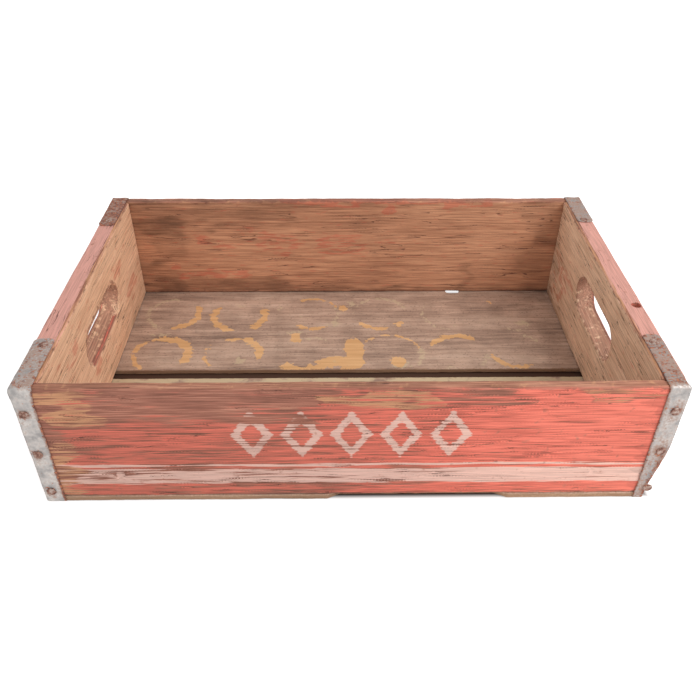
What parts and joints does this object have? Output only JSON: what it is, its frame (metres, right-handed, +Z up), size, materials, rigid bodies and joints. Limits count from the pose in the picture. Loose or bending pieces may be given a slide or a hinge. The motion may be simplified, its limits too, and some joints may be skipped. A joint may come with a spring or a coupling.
{
  "type": "wooden drinks crate",
  "caption": "Shallow open wooden bottle crate with hand holes in its ends, a slotted bottom, and bent steel straps nailed round its corners.",
  "frame": {"origin": "middle of the crate's footprint, at the level of the ground it stands on", "axes": "+X along the length towards the end with the peg hole, +Y from the front side board to the rear one, +Z up"},
  "size_m": [0.47, 0.3088, 0.1138],
  "materials": {
    "painted_side_board": "old salmon red paint, worn through to the grain, with a worn white stripe",
    "end_board": "bare aged wood with thin worn red paint",
    "bottom_board": "dark stained wood with worn ring marks",
    "corner_strap": "dull galvanised steel with rust",
    "nail": "rusty steel"
  },
  "bodies": {
    "root": {"front_side_board": "painted_side_board", "rear_side_board": "painted_side_board", "left_end_board": "end_board", "right_end_board": "end_board", "front_bottom_board": "bottom_board", "rear_bottom_board": "bottom_board", "strap_front_left": "corner_strap", "strap_front_right": "corner_strap", "strap_rear_left": "corner_strap", "strap_rear_right": "corner_strap", "face_nails_front_left": "nail", "face_nails_front_right": "nail", "face_nails_rear_left": "nail", "face_nails_rear_right": "nail", "top_nail_front_left": "nail", "top_nail_front_right": "nail", "top_nail_rear_left": "nail", "top_nail_rear_right": "nail", "bottom_nail_front_left": "nail", "bottom_nail_front_right": "nail", "bottom_nail_rear_left": "nail", "bottom_nail_rear_right": "nail", "floor_nails_left_end": "nail", "floor_nails_right_end": "nail", "floor_nails_front_side": "nail", "floor_nails_rear_side": "nail"}
  },
  "joints": []
}
